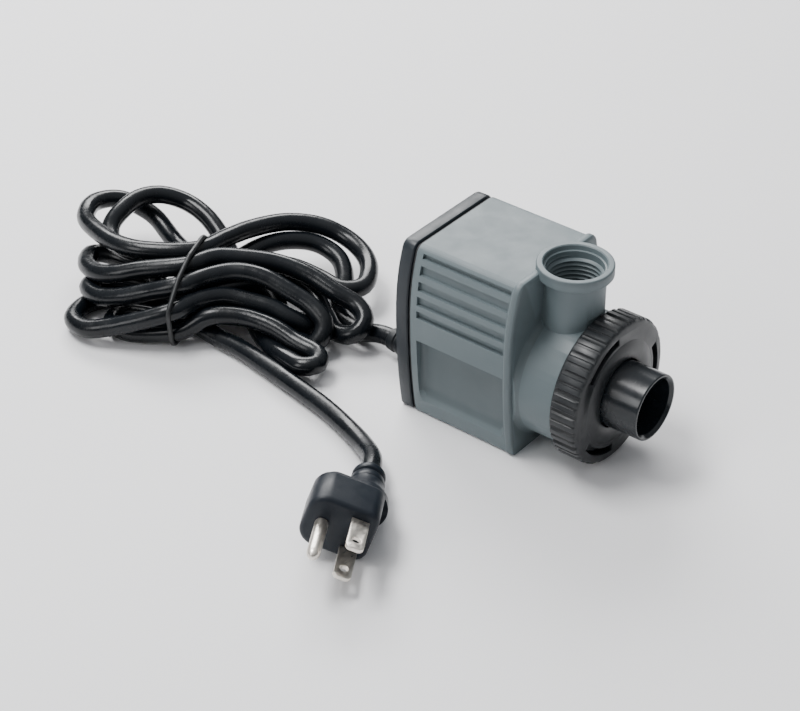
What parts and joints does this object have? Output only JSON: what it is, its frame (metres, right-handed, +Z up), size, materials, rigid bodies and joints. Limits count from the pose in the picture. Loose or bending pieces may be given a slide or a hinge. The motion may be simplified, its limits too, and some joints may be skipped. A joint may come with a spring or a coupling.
{
  "type": "submersible pump",
  "caption": "Magnetic-drive submersible fountain pump with a threaded top outlet, a hose spigot under a knurled union ring, and a tied mains cord with a grounded plug.",
  "frame": {"origin": "centre of the pump's footprint on the surface it stands on, cord left out", "axes": "+Y along the pump axis towards the rear cover and the cord, so the inlet spigot faces -Y; +Z up through the outlet; +X to the right seen from the inlet end"},
  "size_m": [0.1665, 0.2651, 0.075],
  "materials": {
    "housing_plastic": "fine moulded satin, blue-grey",
    "dark_plastic": "moulded satin, charcoal",
    "ring_plastic": "moulded satin, charcoal grey",
    "gloss_plastic": "polished, blue-black",
    "black_rubber": "matte",
    "cord_rubber": "satin",
    "cord_jacket": "glossy extruded jacket",
    "plug_rubber": "satin moulded",
    "tie_plastic": "satin",
    "pale_plastic": "moulded satin",
    "resin": "cast resin",
    "core_steel": "laminated sheet",
    "copper": "enamelled wire",
    "ferrite": "sintered",
    "ceramic": "ground alumina ceramic",
    "wire_black": "insulation",
    "wire_white": "insulation",
    "wire_green": "insulation",
    "nickel": "nickel-plated brass, lightly worn"
  },
  "bodies": {
    "root": {"motor_housing": "housing_plastic", "rear_cover": "dark_plastic", "cover_gasket": "black_rubber", "potting_resin": "resin", "stator_core": "core_steel", "coil_bobbin_left": "pale_plastic", "coil_bobbin_right": "pale_plastic", "coil_winding_left": "copper", "coil_winding_right": "copper", "live_wire": "wire_black", "neutral_wire": "wire_white", "ground_wire": "wire_green", "ceramic_shaft": "ceramic", "rear_bush": "black_rubber", "rear_thrust_washer": "ceramic", "front_thrust_washer": "ceramic", "cord_relief": "cord_rubber", "cord_lead": "cord_jacket", "cord_hank": "cord_jacket", "cord_tie": "tie_plastic", "cord_tail": "cord_jacket", "plug_body": "plug_rubber", "plug_collar": "plug_rubber", "upper_blade": "nickel", "lower_blade": "nickel", "ground_pin": "nickel"},
    "rotor": {"rotor_magnet": "ferrite", "magnet_sleeve": "pale_plastic"},
    "impeller_wheel": {"impeller": "pale_plastic"},
    "inlet_end": {"inlet_cap": "gloss_plastic", "inlet_seal": "black_rubber", "front_bush": "black_rubber"},
    "ring": {"union_ring": "ring_plastic"}
  },
  "joints": [
    {"name": "rotor_spin", "type": "hinge", "parent": "root", "child": "rotor", "pos_m": [0, 0, 0.0286], "axis": [0, 1, 0], "continuous": true},
    {"name": "impeller_lag", "type": "hinge", "parent": "rotor", "child": "impeller_wheel", "pos_m": [0, 0, 0.0286], "axis": [0, 1, 0], "range_deg": [-125, 125]},
    {"name": "cap_draw", "type": "slide", "parent": "root", "child": "inlet_end", "axis": [0, -1, 0], "range_m": [0, 0.009]},
    {"name": "ring_turn", "type": "hinge", "parent": "inlet_end", "child": "ring", "pos_m": [0, 0, 0.0286], "axis": [0, -1, 0], "range_deg": [0, 1060]}
  ],
  "couplings": [
    {"joint": "cap_draw", "follows": "ring_turn", "m_per_rad": 0.00047746}
  ]
}
